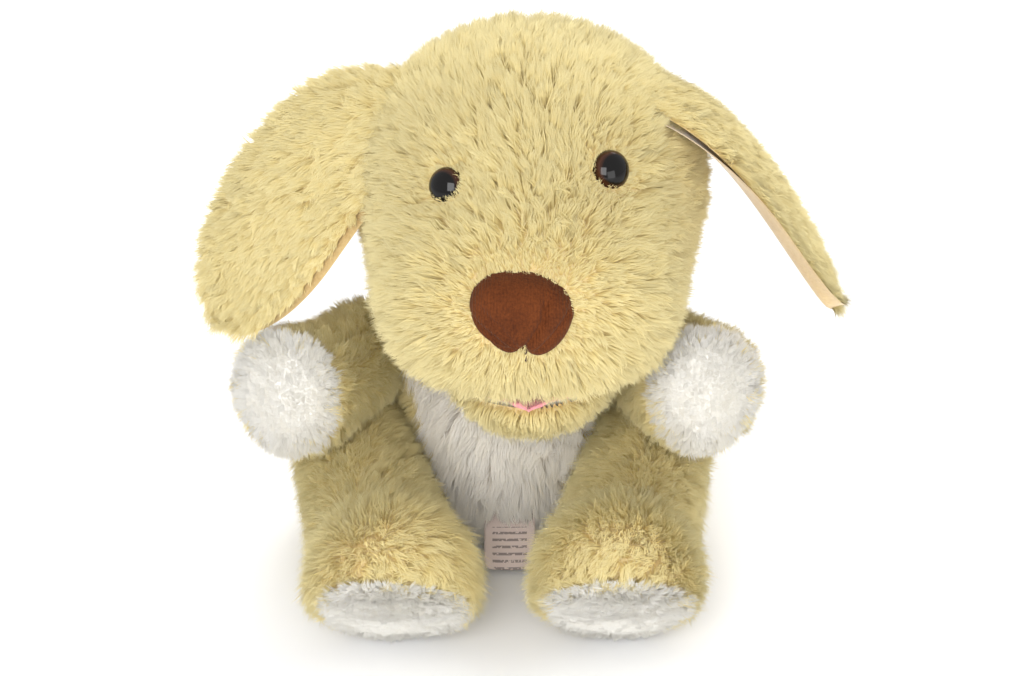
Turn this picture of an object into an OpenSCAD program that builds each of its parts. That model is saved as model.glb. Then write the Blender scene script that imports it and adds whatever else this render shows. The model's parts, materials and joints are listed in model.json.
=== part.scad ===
// Full-body puppy hand puppet with a working mouth, sitting upright.
// Units are millimetres, +Z is up and the puppet faces -Y. The origin is on the flat seat.
// Left and right are the viewer's, looking along +Y.

/* [Head] */
// Sideways offset of the head from the body's middle, because the soft neck leans
head_x = 15; // [0:1:17]
// Height of the middle of the skull
skull_z = 162; // [158:1:168]
// Radius of the skull
skull_r = 65; // [62:1:66]
// Radius of the rounded snout
snout_r = 46; // [42:1:48]
// Sideways distance between the two rounds that make the snout
snout_spread = 22; // [14:1:24]
// Thickness of the fur panels: backing cloth and pressed pile
fur = 4; // [3:0.5:5]
// Radius of an eye
eye_r = 7.2; // [6:0.1:8]
// Width of the nose
nose_w = 44; // [38:1:46]

/* [Mouth] */
// Radius of the round mouth boards and of the lower jaw
mouth_r = 30; // [26:1:31]
// Depth of the lower jaw under its board
jaw_h = 20; // [16:1:21]
// Thickness of a mouth board
board_t = 2; // [1.5:0.5:2]

/* [Ears] */
// Length of an ear
ear_l = 103; // [96:1:104]
// Greatest width of an ear
ear_w = 56; // [46:1:58]
// How far an ear stands out from straight down, in degrees
ear_swing = 34; // [30:1:38]

/* [Body] */
// Radius of the round belly
belly_r = 39; // [37:1:40]
// Height of the shoulders
chest_h = 84; // [83:0.5:84]
// Length of an arm from shoulder to pad
arm_l = 71; // [66:1:74]
// Radius of a paw
paw_r = 23.5; // [20:0.5:24]
// Length of a leg from hip to sole
leg_l = 112; // [106:1:114]
// Radius of a foot
foot_r = 28; // [27:0.5:30]

/* [Glove] */
// Width of the space for the hand
hand_w = 76; // [70:1:76]
// Depth of the space for the hand
hand_d = 38; // [34:1:38]
// Height of the finger pocket over the mouth
finger_h = 20; // [18:1:20]

/* [Hidden] */
$fn = 64;

LEFT = -1;
RIGHT = 1;
lining = 1.3;                              // thickness of the glove cloth
pad_t = 2.5;                               // thickness of a paw pad and of a sole
gap = 0.5;                                 // clearance between bodies that move
far = 300;                                 // longer than the puppet

skull = [head_x, 5, skull_z];
snout = [head_x, -40, skull_z - 24];
head_base_z = 106;                         // underside of the head
neck = [6, 28, 96];                        // middle of the neck's motion
neck_spread = 36;                          // sideways distance between the neck's two rounds
nape_r = 32;                               // radius of the rounds at the base of the skull
mouth = [head_x, -38, 101];                // middle of the mouth opening
pocket_y = 10;                             // back end of the finger pocket
pocket_l = 74;                             // length of the finger pocket

chest = [0, 28, 0];
chest_r = 29;
sleeve_end_y = 59;                         // back end of the body's sleeve
belly = [0, 10, 30];
belly_h = 42;                              // height of the belly's curve over its widest level
seat_t = 3;
hand_spread = hand_w - hand_d;             // distance between the hand space's two rounds
sleeve_z = 27;                             // middle height of the sleeve's mouth at the back
sleeve_r = 20;
sleeve_spread = 36;

// Where the limbs start and end on each side: a soft toy never sits quite evenly
shoulder_r = 18;
function shoulder(side) = [side * 62, 26, 70];
function paw(side) = [side < 0 ? -88 : 86, -38, 86];       // where the middle of a paw pad points
hip_r = 22;
function hip(side) = [side < 0 ? -66 : 63, -2, 32];
function foot(side) = [side < 0 ? -41 : 49, -112, foot_r + 0.5];    // middle of a sole
sole_tilt = 38;                            // how far a sole faces down, in degrees
tail_root = [0, 63, 66];
tail_r = 10;
tail_l = 34;
label_top = [3, -30.7, 22];

// ---- Helpers ----

// A rectangle with two round ends
module stadium(spread, r) {
    square([spread, 2 * r], center = true);
    for (side = [LEFT, RIGHT])
        translate([side * spread / 2, 0]) circle(r);
}

// The right half of a barrel's outline, with its corners rounded
function barrel_outline(r, z0, z1, round) = concat(
    [[0, z0]],
    [for (a = [-90:15:0]) [r - round + round * cos(a), z0 + round + round * sin(a)]],
    [for (a = [0:15:90]) [r - round + round * cos(a), z1 - round + round * sin(a)]],
    [[0, z1]]);

// An outline turned at both ends and stretched sideways between them
module stretched_barrel(spread, outline) {
    for (side = [LEFT, RIGHT])
        translate([side * spread / 2, 0, 0]) rotate_extrude() polygon(outline);
    rotate([90, 0, 90])
        linear_extrude(spread, center = true)
            polygon(concat(outline, [for (i = [len(outline) - 1:-1:0]) [-outline[i].x, outline[i].y]]));
}

// Turns +Z to point along v
module aim(v) {
    rotate([0, acos(v.z / norm(v)), atan2(v.y, v.x)]) children();
}

// A round dish, flat on top and curved below
module dish(r, h) {
    rotate_extrude() polygon(concat([[0, 0]], [for (a = [0:9:90]) [r * cos(a), -h * sin(a)]]));
}

// Everything above a height
module above(z) {
    translate([-far / 2, -far / 2, z]) cube(far);
}

// ---- Head ----

module skull_ball(grow) {
    translate(skull) sphere(skull_r + grow);
}

module snout_ball(grow) {
    for (side = [LEFT, RIGHT])
        translate(snout + [side * snout_spread / 2, 0, 0]) sphere(snout_r + grow);
    translate(snout) rotate([0, 90, 0]) cylinder(h = snout_spread, r = snout_r + grow, center = true);
}

module head_form(grow) {
    intersection() {
        union() {
            skull_ball(grow);
            snout_ball(grow);
            translate([neck.x, neck.y, head_base_z - 10])
                linear_extrude(34) stadium(neck_spread, nape_r + grow);
        }
        above(head_base_z);
    }
}

// The space for four fingers: a flat pocket over the mouth and the way up into it
module finger_space(grow) {
    r = finger_h / 2 + grow;
    translate([head_x, pocket_y, head_base_z + 4 + finger_h / 2])
        rotate([90, 0, 0]) linear_extrude(pocket_l + grow) stadium(hand_w - finger_h - 4, r);
    translate([neck.x, neck.y, head_base_z - 1])
        linear_extrude(5 + finger_h + grow) stadium(neck_spread, 22.5 + grow);
}

// Room for each eye: a hole for its stem, and a flat under its rim
module eye_seats() {
    for (side = [LEFT, RIGHT])
        eye_place(side) {
            translate([0, 0, -12]) cylinder(h = 14, r = 2.5);
            translate([0, 0, -0.3]) cylinder(h = 12, r = eye_r + 0.8);
        }
}

module head_shell() {
    difference() {
        head_form(0);
        head_form(-fur);
        finger_space(lining);
        eye_seats();
    }
}

// The face seams: forehead in the middle, cheeks outside the darts, snout below the bridge
forehead_half = 40;
bridge_z = skull_z + 20;
snout_back_y = -22;
back_y = 14;

module snout_region() {
    translate([-far / 2, -far / 2, 0]) cube([far, far / 2 + snout_back_y, bridge_z]);
}

// Half of the forehead's outline, straight across the head from its middle seam
module forehead_region(side) {
    translate([side > 0 ? head_x : head_x - forehead_half, 0, 0])
        rotate([90, 0, 90]) linear_extrude(forehead_half)
            polygon([[-far, bridge_z], [snout_back_y, bridge_z], [snout_back_y, skull_z],
                     [back_y, skull_z], [back_y, far], [-far, far]]);
}

module forehead(side) {
    intersection() {
        head_shell();
        forehead_region(side);
    }
}

// A cheek also closes the head's side down to its open base
module cheek(side) {
    difference() {
        intersection() {
            head_shell();
            translate([side > 0 ? head_x : head_x - far, -far, 0]) cube([far, far + back_y, far]);
        }
        snout_region();
        forehead_region(side);
    }
}

module forehead_left() { color("#e4d8a2") forehead(LEFT); }
module forehead_right() { color("#e4d8a2") forehead(RIGHT); }
module cheek_left() { color("#e2d49c") cheek(LEFT); }
module cheek_right() { color("#e2d49c") cheek(RIGHT); }

module head_back() {
    color("#ddcd92") difference() {
        head_shell();
        translate([-far / 2, back_y - far, 0]) cube(far);
    }
}

module muzzle() {
    color("#e9dfb4") intersection() {
        head_shell();
        snout_region();
    }
}

module head_stuffing() {
    color("white") difference() {
        head_form(-fur);
        finger_space(lining);
        eye_seats();
        for (side = [LEFT, RIGHT])
            eye_place(side) translate([0, 0, -fur - 3.5]) cylinder(h = 4, r = 9);
    }
}

module finger_pocket() {
    color("#e8e2d0") intersection() {
        difference() {
            finger_space(lining);
            finger_space(0);
        }
        above(head_base_z);
    }
}

// A round board under the snout, straight along its hinge side
module mouth_board(z, t, r) {
    translate([mouth.x, mouth.y, z]) cylinder(h = t, r = r);
}

module upper_mouth_board() {
    color("#c9b48a") mouth_board(head_base_z - board_t, board_t, mouth_r);
}

module upper_mouth_lining() {
    color("#e59aa0") mouth_board(head_base_z - board_t - lining, lining, mouth_r);
}

nose_place = [head_x, -78, skull_z - 13];

module nose() {
    r = 16;
    color("#5a2a16") difference() {
        translate(nose_place) {
            for (side = [LEFT, RIGHT])
                translate([side * (nose_w / 2 - r), 0, 0]) sphere(r);
            rotate([0, 90, 0]) cylinder(h = nose_w - 2 * r, r = r, center = true);
        }
        head_form(0);
    }
}

module nose_stitch() {
    drop = 14;
    color("#3a1c10") difference() {
        translate([snout.x - 0.5, snout.y - snout_r - 1, nose_place.z - 15 - drop]) cube([1, 12, drop]);
        head_form(0);
        translate(snout) rotate([0, 90, 0]) difference() {
            cylinder(h = far, r = far, center = true);
            cylinder(h = far, r = snout_r + 0.6, center = true);
        }
    }
}

// Puts +Z straight out of the face where an eye sits: the right one is sewn in a little higher
module eye_place(side) {
    out = [side * 31 + 3, -51.9, 24 + side * 3];
    translate(skull) aim(out) translate([0, 0, skull_r]) children();
}

module eye(side) {
    color("#15100d") eye_place(side) {
        intersection() {
            translate([0, 0, -eye_r * 0.35]) sphere(eye_r * 1.06);
            cylinder(h = eye_r, r = eye_r);
        }
        translate([0, 0, -11]) cylinder(h = 11, r = 2.2);
    }
}

module eye_washer(side) {
    color("#dddddd") eye_place(side) difference() {
        translate([0, 0, -fur - 3]) cylinder(h = 2, r = 8.5);
        translate([0, 0, -fur - 4]) cylinder(h = 5, r = 2.25);
    }
}

module eye_left() { eye(LEFT); }
module eye_right() { eye(RIGHT); }
module eye_washer_left() { eye_washer(LEFT); }
module eye_washer_right() { eye_washer(RIGHT); }

// ---- Lower jaw: hinges on the back edge of the mouth ----

jaw_top_z = 97;

module jaw_form(grow) {
    translate([mouth.x, mouth.y, jaw_top_z]) dish(mouth_r + grow, jaw_h + grow);
}

// The space for the thumb, open at the back
module thumb_space(grow) {
    r = 6 + grow;
    translate([mouth.x, mouth.y + mouth_r + 1, jaw_top_z - 8])
        rotate([90, 0, 0]) linear_extrude(46 + grow) stadium(12, r);
}

module jaw_fur() {
    color("#d5c08c") difference() {
        jaw_form(0);
        jaw_form(-fur);
        thumb_space(lining);
    }
}

module jaw_stuffing() {
    color("white") difference() {
        jaw_form(-fur);
        thumb_space(lining);
    }
}

module thumb_pocket() {
    color("#e8e2d0") intersection() {
        difference() {
            thumb_space(lining);
            thumb_space(0);
        }
        jaw_form(0);
    }
}

module lower_mouth_board() {
    color("#c9b48a") mouth_board(jaw_top_z, board_t, mouth_r);
}

module lower_mouth_lining() {
    color("#e59aa0") mouth_board(jaw_top_z + board_t, lining, mouth_r);
}

module tongue() {
    color("#e07f8c") translate([mouth.x, mouth.y - 11, jaw_top_z + board_t + lining])
        linear_extrude(1.6) union() {
            circle(12);
            translate([-12, 0]) square([24, 18]);
        }
}

// ---- Ears: a fur face outside and a short-pile lining inside ----

ear_root_w = 28;
ear_fur_t = 4;
ear_lining_t = 2;

// Half the ear's width at t, from 0 at the root to 1 at the tip
function ear_half(t) =
    t < 0.6 ? ear_root_w / 2 + (ear_w - ear_root_w) / 2 * sin(90 * t / 0.6)
            : ear_w / 2 * sqrt(max(0, 1 - pow((t - 0.6) / 0.4, 2)));

ear_steps = [for (i = [0:24]) pow(i / 24, 0.8)];

module ear_outline() {
    polygon(concat(
        [for (t = ear_steps) [-ear_half(t), -t * ear_l]],
        [for (i = [len(ear_steps) - 2:-1:0]) [ear_half(ear_steps[i]), -ear_steps[i] * ear_l]]));
}

// Where an ear hangs: its root, and how it is twisted about its own length
function ear_root(side) = side < 0 ? [head_x - 62, 0, skull_z + 37] : [head_x + 58, 0, skull_z + 38];
function ear_twist(side) = side < 0 ? 60 : 6;

// One layer of an ear, from depth t0 to t1, counted outwards from the lining face
module ear_layer(side, t0, t1) {
    difference() {
        translate(ear_root(side))
            rotate([0, -side * ear_swing, 0]) rotate([-8, 0, 0]) rotate([0, 0, ear_twist(side)])
                rotate([90, 0, side * 90]) translate([0, 0, t0]) linear_extrude(t1 - t0) ear_outline();
        skull_ball(1);
    }
}

module ear_left_fur() { color("#e8deb0") ear_layer(LEFT, ear_lining_t, ear_lining_t + ear_fur_t); }
module ear_left_lining() { color("#d9b981") ear_layer(LEFT, 0, ear_lining_t); }
module ear_right_fur() { color("#e8deb0") ear_layer(RIGHT, ear_lining_t, ear_lining_t + ear_fur_t); }
module ear_right_lining() { color("#d9b981") ear_layer(RIGHT, 0, ear_lining_t); }

// ---- Neck ----

module neck_gusset() {
    color("#d5c08c") translate([neck.x, neck.y, chest_h + gap]) linear_extrude(8) difference() {
        stadium(neck_spread, 26);
        stadium(neck_spread, 22.5);
    }
}

module neck_lining() {
    color("#e8e2d0") translate([neck.x, neck.y, neck.z - 5]) linear_extrude(20) difference() {
        stadium(neck_spread - 2, 19);
        stadium(neck_spread - 2, 17.5);
    }
}

// ---- Body ----

module body_form(grow) {
    steps = 12;
    low = asin(-belly.z / belly_h);
    r = belly_r + grow;
    intersection() {
        union() {
            translate([belly.x, belly.y, 0]) rotate_extrude() polygon(concat(
                [[0, 0]],
                [for (i = [0:steps]) let (a = low + (90 - low) * i / steps)
                    [r * cos(a), belly.z + (belly_h + grow) * sin(a)]]));
            translate(chest)
                stretched_barrel(neck_spread, barrel_outline(chest_r + grow, 0, chest_h + grow, 7));
            translate([chest.x, chest.y, sleeve_z])
                rotate([-90, 0, 0]) linear_extrude(sleeve_end_y - chest.y)
                    stadium(sleeve_spread, sleeve_r + lining + fur + 1.5 + grow);
        }
        above(0);
    }
}

// The space for the hand: up through the chest, and out at the back
module hand_space(grow) {
    translate([chest.x, chest.y, 7 - grow]) linear_extrude(chest_h) stadium(hand_spread, hand_d / 2 + grow);
    translate([chest.x, chest.y, sleeve_z])
        rotate([-90, 0, 0]) linear_extrude(60) stadium(sleeve_spread, sleeve_r + grow);
}

// Room for the limbs and the tail to turn in
module sockets() {
    for (side = [LEFT, RIGHT]) {
        translate(hip(side)) sphere(hip_r + gap);
        translate(shoulder(side)) sphere(shoulder_r + gap);
    }
    translate(tail_root) sphere(tail_r + gap);
}

module belly_region() {
    rotate([90, 0, 0]) linear_extrude(far)
        polygon([[-14, 8], [24, 8], [42, chest_h], [-42, chest_h]]);
}

module body_shell() {
    intersection() {
        difference() {
            body_form(0);
            body_form(-fur);
            hand_space(lining);
            sockets();
        }
        above(seat_t);
    }
}

module body_fur() {
    color("#d5c08c") difference() {
        body_shell();
        belly_region();
    }
}

module belly_panel() {
    color("#ece6dc") intersection() {
        body_shell();
        belly_region();
    }
}

module seat_panel() {
    color("#d5c08c") difference() {
        body_form(0);
        above(seat_t);
        sockets();
    }
}

module body_stuffing() {
    color("white") intersection() {
        difference() {
            body_form(-fur);
            hand_space(lining);
            sockets();
        }
        above(seat_t);
    }
}

module glove_lining() {
    color("#e8e2d0") intersection() {
        difference() {
            hand_space(lining);
            hand_space(0);
            sockets();
        }
        above(seat_t);
        body_form(0);
    }
}

module hem_band() {
    color("#c8b27c") translate([chest.x, sleeve_end_y, sleeve_z])
        rotate([-90, 0, 0]) linear_extrude(3) difference() {
            stadium(sleeve_spread, sleeve_r + lining + fur);
            stadium(sleeve_spread, sleeve_r);
        }
}

// ---- Tail ----

tail_way = [0, 0.8, 0.6];

module tail_form(grow) {
    translate(tail_root) aim(tail_way) rotate_extrude() polygon(concat(
        [for (a = [-90:15:0]) [(tail_r + grow) * cos(a), (tail_r + grow) * sin(a)]],
        [for (a = [0:15:90]) [(tail_r + grow) * cos(a), tail_l + (tail_r + grow) * sin(a)]]));
}

module tail_fur() {
    color("#ddcd92") difference() {
        tail_form(0);
        tail_form(-3);
    }
}

module tail_stuffing() {
    color("white") tail_form(-3);
}

// ---- Care label: sewn in under the belly, lying on the floor ----

module care_label() {
    w = 22;
    l = 26;
    corner = 4;
    color("#c9b3aa") translate(label_top) rotate([-42, 0, 0]) rotate([90, 0, 0])
        linear_extrude(0.6) {
            translate([-w / 2, corner - l]) square([w, l - corner]);
            translate([corner - w / 2, -l]) square([w - 2 * corner, corner]);
            for (side = [LEFT, RIGHT]) translate([side * (w / 2 - corner), corner - l]) circle(corner);
        }
}

// ---- Arms ----

module arm_form(side, grow) {
    root = shoulder(side);
    tip = paw(side);
    translate(root) aim(tip - root) rotate_extrude() polygon(concat(
        [for (a = [-90:15:15]) [(shoulder_r + grow) * cos(a), (shoulder_r + grow) * sin(a)]],
        [for (a = [0:15:60]) [paw_r - 6 + (6 + grow) * cos(a), arm_l - 6 + 6 * sin(a)]],
        [[0, arm_l - 6 + 6 * sin(60)]]));
}

module arm_fur(side) {
    color("#d5c08c") difference() {
        arm_form(side, 0);
        arm_form(side, -3);
    }
}

module arm_stuffing(side) {
    color("white") arm_form(side, -3);
}

module arm_pad(side) {
    root = shoulder(side);
    tip = paw(side);
    color("#f0ece2") translate(root) aim(tip - root)
        translate([0, 0, arm_l - 6 + 6 * sin(60)]) cylinder(h = pad_t, r = paw_r - 3);
}

module arm_left_fur() { arm_fur(LEFT); }
module arm_left_stuffing() { arm_stuffing(LEFT); }
module arm_left_pad() { arm_pad(LEFT); }
module arm_right_fur() { arm_fur(RIGHT); }
module arm_right_stuffing() { arm_stuffing(RIGHT); }
module arm_right_pad() { arm_pad(RIGHT); }

// ---- Legs ----

module leg_form(side, grow) {
    root = hip(side);
    tip = foot(side);
    translate(root) aim(tip - root) rotate_extrude() polygon(concat(
        [for (a = [-90:15:0]) [(hip_r + grow) * cos(a), (hip_r + grow) * sin(a)]],
        [[foot_r + grow, leg_l * 0.55], [foot_r + grow, leg_l + 30], [0, leg_l + 30]]));
}

// Everything further out than d in front of a sole's inner face
module beyond_sole(side, d) {
    translate(foot(side)) rotate([90 + sole_tilt, 0, 0])
        translate([-far / 2, -far / 2, d]) cube(far);
}

module leg_fur(side) {
    color("#e0d39c") difference() {
        leg_form(side, 0);
        leg_form(side, -3);
        beyond_sole(side, 0);
    }
}

module leg_stuffing(side) {
    color("white") difference() {
        leg_form(side, -3);
        beyond_sole(side, 0);
    }
}

module leg_sole(side) {
    color("#f2efe8") difference() {
        intersection() {
            leg_form(side, -1);
            beyond_sole(side, 0);
        }
        beyond_sole(side, pad_t);
    }
}

module leg_left_fur() { leg_fur(LEFT); }
module leg_left_stuffing() { leg_stuffing(LEFT); }
module leg_left_sole() { leg_sole(LEFT); }
module leg_right_fur() { leg_fur(RIGHT); }
module leg_right_stuffing() { leg_stuffing(RIGHT); }
module leg_right_sole() { leg_sole(RIGHT); }

body_fur();
belly_panel();
seat_panel();
body_stuffing();
glove_lining();
hem_band();
tail_fur();
tail_stuffing();
care_label();
neck_gusset();
neck_lining();
forehead_left();
forehead_right();
cheek_left();
cheek_right();
head_back();
muzzle();
head_stuffing();
finger_pocket();
upper_mouth_board();
upper_mouth_lining();
nose();
nose_stitch();
eye_left();
eye_right();
eye_washer_left();
eye_washer_right();
jaw_fur();
jaw_stuffing();
thumb_pocket();
lower_mouth_board();
lower_mouth_lining();
tongue();
ear_left_fur();
ear_left_lining();
ear_right_fur();
ear_right_lining();
arm_left_fur();
arm_left_stuffing();
arm_left_pad();
arm_right_fur();
arm_right_stuffing();
arm_right_pad();
leg_left_fur();
leg_left_stuffing();
leg_left_sole();
leg_right_fur();
leg_right_stuffing();
leg_right_sole();
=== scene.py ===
"""Visual model of a sitting puppy hand puppet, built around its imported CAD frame.

Every length is in metres. Shapes come from the frame's boxes and from the joint centres in its record.
A plush panel is a padded skin with real pile standing on it: short tapered blades that lean, bend and
clump.
"""
import json
import math
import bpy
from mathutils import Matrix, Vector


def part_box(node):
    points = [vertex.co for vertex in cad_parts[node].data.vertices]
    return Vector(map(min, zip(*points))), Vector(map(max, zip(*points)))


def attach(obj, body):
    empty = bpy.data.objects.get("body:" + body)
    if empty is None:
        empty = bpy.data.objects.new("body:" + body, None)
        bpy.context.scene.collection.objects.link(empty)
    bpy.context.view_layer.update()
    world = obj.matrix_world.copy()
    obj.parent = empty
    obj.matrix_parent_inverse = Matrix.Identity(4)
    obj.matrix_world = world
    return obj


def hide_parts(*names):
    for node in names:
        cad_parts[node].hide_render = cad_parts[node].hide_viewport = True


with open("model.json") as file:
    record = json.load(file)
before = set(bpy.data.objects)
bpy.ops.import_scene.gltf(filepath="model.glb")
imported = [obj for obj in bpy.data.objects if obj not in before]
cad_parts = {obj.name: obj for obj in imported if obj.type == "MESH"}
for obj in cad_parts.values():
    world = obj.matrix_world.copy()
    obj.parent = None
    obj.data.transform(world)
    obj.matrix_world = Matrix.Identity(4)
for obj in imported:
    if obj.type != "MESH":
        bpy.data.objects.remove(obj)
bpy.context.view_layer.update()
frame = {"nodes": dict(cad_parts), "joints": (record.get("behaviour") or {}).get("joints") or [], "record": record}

import zlib

import bmesh
import bpy
import numpy as np
from mathutils import Matrix, Vector

MM = 0.001
LEFT, RIGHT = -1, 1
SIDES = {LEFT: "left", RIGHT: "right"}
UP = np.array([0.0, 0.0, 1.0])

# How long the pile is, panel by panel.
HEAD_PILE = 10.5 * MM
JAW_PILE = 9 * MM
EAR_PILE = 9 * MM
BODY_PILE = 10 * MM
BELLY_PILE = 14 * MM
SEAT_PILE = 1.6 * MM
NECK_PILE = 8 * MM
TAIL_PILE = 8 * MM
ARM_PILE = 10.5 * MM
LEG_PILE = 11 * MM

# ---- The frame's own places ----


def low(node):
    return np.array(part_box(node)[0])


def high(node):
    return np.array(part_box(node)[1])


def middle(node):
    return (low(node) + high(node)) / 2


def half_size(node):
    return (high(node) - low(node)) / 2


def node_points(node):
    """The corners of a CAD node's mesh."""
    mesh = frame["nodes"][node].data
    points = np.zeros(len(mesh.vertices) * 3)
    mesh.vertices.foreach_get("co", points)
    return points.reshape(-1, 3)


def joint_centre(name):
    joint = next(j for j in frame["joints"] if j["name"] == name)
    return np.array(joint["pos_m"])


head_x = middle("nose")[0]
skull_r = (high("cheek_right")[0] - low("cheek_left")[0]) / 2
skull = np.array([head_x, high("head_back")[1] - skull_r, high("head_back")[2] - skull_r])
snout_r = 0.71 * skull_r
snout = np.array([head_x, low("muzzle")[1] + snout_r, high("muzzle")[2] - 44 * MM])
nose = middle("nose")
head_base = low("muzzle")[2]
neck = joint_centre("neck_turn")
chest_top = high("body_fur")[2]
sleeve = middle("hem_band")
trunk_spread = np.array([18 * MM, 0, 0])  # half the straight middle of the neck, trunk and sleeve

# ---- Shapes as fields: below zero inside, zero on the surface ----


def unit(v):
    return v / np.maximum(np.linalg.norm(v, axis=-1, keepdims=True), 1e-12)


def ellipsoid(p, centre, radii):
    radii = np.asarray(radii, float)
    return (np.linalg.norm((p - centre) / radii, axis=1) - 1) * radii.min()


def rod(p, a, b, radius_a, radius_b):
    """A round bar from a to b whose radius changes evenly."""
    line = b - a
    t = np.clip((p - a) @ line / (line @ line), 0, 1)
    return np.linalg.norm(p - (a + t[:, None] * line), axis=1) - (radius_a + (radius_b - radius_a) * t)


def melt(first, second, soft):
    """The union of two fields, with a fillet."""
    h = np.clip(0.5 + 0.5 * (second - first) / soft, 0, 1)
    return second * (1 - h) + first * h - soft * h * (1 - h)


def trim(first, second, soft):
    """The part inside both fields, with a rounded edge."""
    return -melt(-first, -second, soft)


def smoothstep(x, start, end):
    t = np.clip((x - start) / (end - start), 0, 1)
    return t * t * (3 - 2 * t)


def swirl(p, rate, shift=0.0, order=(1, 2, 0)):
    """A slow change from place to place, each way from another coordinate."""
    return np.sin(p * rate + shift)[:, list(order)]


def halved(faces):
    """Four-cornered faces as triangles."""
    return np.concatenate([faces[:, [0, 1, 2]], faces[:, [0, 2, 3]]])


def ball_mesh(detail):
    bm = bmesh.new()
    bmesh.ops.create_icosphere(bm, subdivisions=detail, radius=1)
    points = np.array([v.co for v in bm.verts])
    faces = np.array([[v.index for v in f.verts] for f in bm.faces])
    bm.free()
    return unit(points), faces


class Skin:
    """A triangle mesh with smooth normals."""

    def __init__(self, points, faces):
        self.points = points
        self.faces = faces
        corners = points[faces]
        cross = np.cross(corners[:, 1] - corners[:, 0], corners[:, 2] - corners[:, 0])
        self.area = np.linalg.norm(cross, axis=1) / 2
        normals = np.zeros_like(points)
        for i in range(3):
            np.add.at(normals, faces[:, i], cross)
        self.normals = unit(normals)

    def part(self, keep):
        """The faces whose middle passes keep, as a skin of their own with the whole skin's normals."""
        chosen = self.faces[keep(self.points[self.faces].mean(axis=1))]
        used, renumbered = np.unique(chosen, return_inverse=True)
        piece = Skin(self.points[used], renumbered.reshape(-1, 3))
        piece.normals = self.normals[used]
        return piece


HALVINGS = 26  # enough to find a surface to far less than a thousandth of a millimetre


def skin_of(field, centre, detail=5, reach=0.2):
    """The closed surface round centre on which the field is zero."""
    directions, faces = ball_mesh(detail)
    near = np.zeros(len(directions))
    far = np.full(len(directions), reach)
    for _ in range(HALVINGS):
        half = (near + far) / 2
        inside = field(centre + directions * half[:, None]) < 0
        near = np.where(inside, half, near)
        far = np.where(inside, far, half)
    return Skin(centre + directions * near[:, None], faces)


# ---- Materials ----


def srgb(*values):
    """A colour given as it looks on a screen, from 0 to 255, for a linear socket."""
    return tuple(((v / 255 + 0.055) / 1.055) ** 2.4 if v > 10 else v / 255 / 12.92 for v in values) + (1,)


MATERIALS = {}  # every material made here, by name
WHITE = (1, 1, 1, 1)


class Nodes:
    """A new material's node tree, with short calls for the nodes used here."""

    def __init__(self, name):
        self.material = bpy.data.materials.new(name)
        MATERIALS[name] = self.material
        self.material.use_nodes = True
        self.tree = self.material.node_tree
        self.shader = self.tree.nodes["Principled BSDF"]

    def add(self, kind, **inputs):
        node = self.tree.nodes.new("ShaderNode" + kind)
        for key, value in inputs.items():
            self.put(node.inputs[key.replace("_", " ")], value)
        return node

    def put(self, socket, value):
        if isinstance(value, bpy.types.NodeSocket):
            self.tree.links.new(value, socket)
        else:
            socket.default_value = value

    def set(self, **values):
        for key, value in values.items():
            self.put(self.shader.inputs[key.replace("_", " ")], value)

    def attribute(self, name):
        node = self.add("Attribute")
        node.attribute_name = name
        return node.outputs["Fac"]

    def place(self):
        return self.add("TexCoord").outputs["Object"]

    def noise(self, scale, detail=3.0):
        node = self.add("TexNoise", Vector=self.place(), Scale=scale, Detail=detail)
        return node.outputs["Fac"]

    def ramp(self, factor, *stops):
        node = self.add("ValToRGB")
        elements = node.color_ramp.elements
        while len(elements) < len(stops):
            elements.new(0.5)
        for element, (position, colour) in zip(elements, stops):
            element.position = position
            element.color = colour
        self.put(node.inputs["Fac"], factor)
        return node.outputs["Color"]

    def mix(self, factor, first, second, how="MIX"):
        node = self.add("Mix")
        node.data_type = "RGBA"
        node.blend_type = how
        self.put(node.inputs["Factor"], factor)
        self.put(node.inputs[6], first)
        self.put(node.inputs[7], second)
        return node.outputs[2]

    def shaded(self, colour, factor, dark, low=0.0, high=1.0):
        """A colour that is darker where the factor is low."""
        return self.mix(1.0, colour, self.ramp(factor, (low, dark), (high, WHITE)), "MULTIPLY")

    def math(self, how, first, second):
        node = self.add("Math")
        node.operation = how
        self.put(node.inputs[0], first)
        self.put(node.inputs[1], second)
        return node.outputs[0]

    def outward_normal(self):
        """The stored normal on both sides of a blade, so its back is lit like the pile round it."""
        geometry = self.add("NewGeometry")
        sign = self.math("SUBTRACT", 1.0, self.math("MULTIPLY", geometry.outputs["Backfacing"], 2.0))
        scaled = self.add("VectorMath")
        scaled.operation = "SCALE"
        self.put(scaled.inputs[0], geometry.outputs["Normal"])
        self.put(scaled.inputs["Scale"], sign)
        return scaled.outputs[0]

    def bump(self, height, strength, distance=0.0004):
        node = self.add("Bump", Height=height, Strength=strength, Distance=distance)
        self.set(Normal=node.outputs["Normal"])


def fur_material(name, root, body, tip):
    """Pile: deeper and warmer at the root as painted shade, pale at the tip, and uneven from tuft to tuft."""
    m = Nodes(name)
    colour = m.ramp(m.attribute("along"), (0.0, root), (0.45, body), (1.0, tip))
    colour = m.shaded(colour, m.attribute("tone"), (0.95, 0.93, 0.89, 1))
    colour = m.shaded(colour, m.noise(45), (0.96, 0.95, 0.91, 1), 0.3, 0.7)
    m.set(Base_Color=colour, Roughness=0.8, Sheen_Weight=0.8, Sheen_Roughness=0.6, Sheen_Tint=tip,
          Specular_IOR_Level=0.1, Normal=m.outward_normal())


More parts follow.
